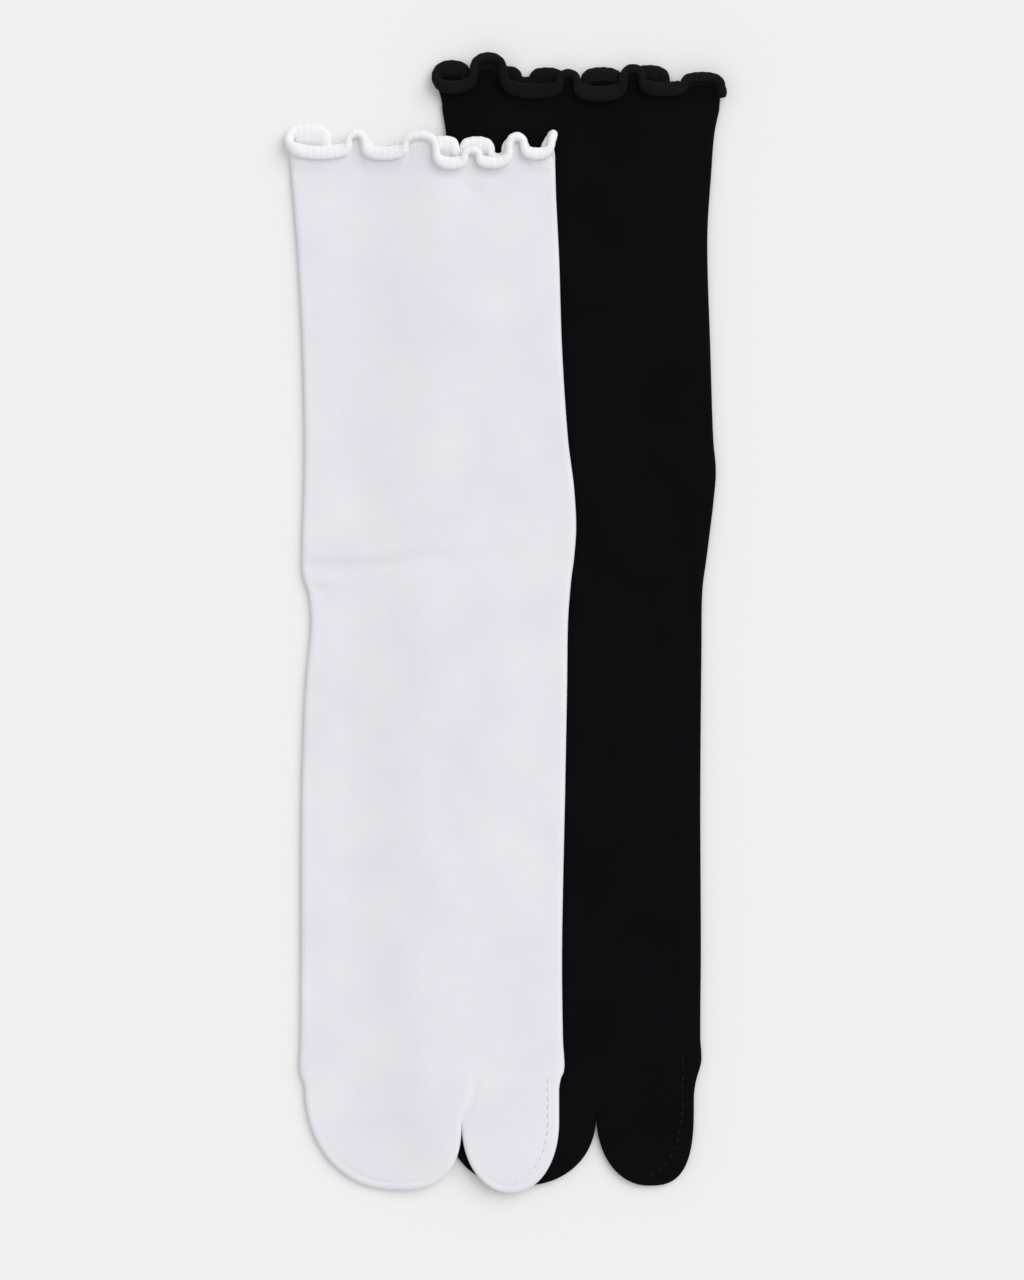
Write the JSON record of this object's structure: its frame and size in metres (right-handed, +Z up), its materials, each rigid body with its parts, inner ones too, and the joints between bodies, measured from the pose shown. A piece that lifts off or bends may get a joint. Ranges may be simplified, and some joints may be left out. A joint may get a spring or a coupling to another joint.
{
  "type": "pair of tabi socks",
  "caption": "Split-toe knitted socks with wavy lettuce hems, one white and one black, laid flat and overlapping.",
  "frame": {"origin": "middle of the pair's footprint, on the surface the socks lie on", "axes": "+Z up off the surface, +Y from the toes to the cuffs, +X to the side of the big toes"},
  "size_m": [0.1504, 0.3848, 0.0104],
  "materials": {
    "white_knit": "fine white cotton jersey knit, matt with a soft nap",
    "white_hem": "white rib edge, stretched and overlocked, rolled outwards",
    "black_knit": "fine black cotton jersey knit, matt with faint wales",
    "black_hem": "black rib edge, stretched and overlocked, rolled outwards"
  },
  "bodies": {
    "root": {"white_leg_and_foot": "white_knit", "white_lettuce_hem": "white_hem", "black_leg_and_foot": "black_knit", "black_lettuce_hem": "black_hem"}
  },
  "joints": []
}
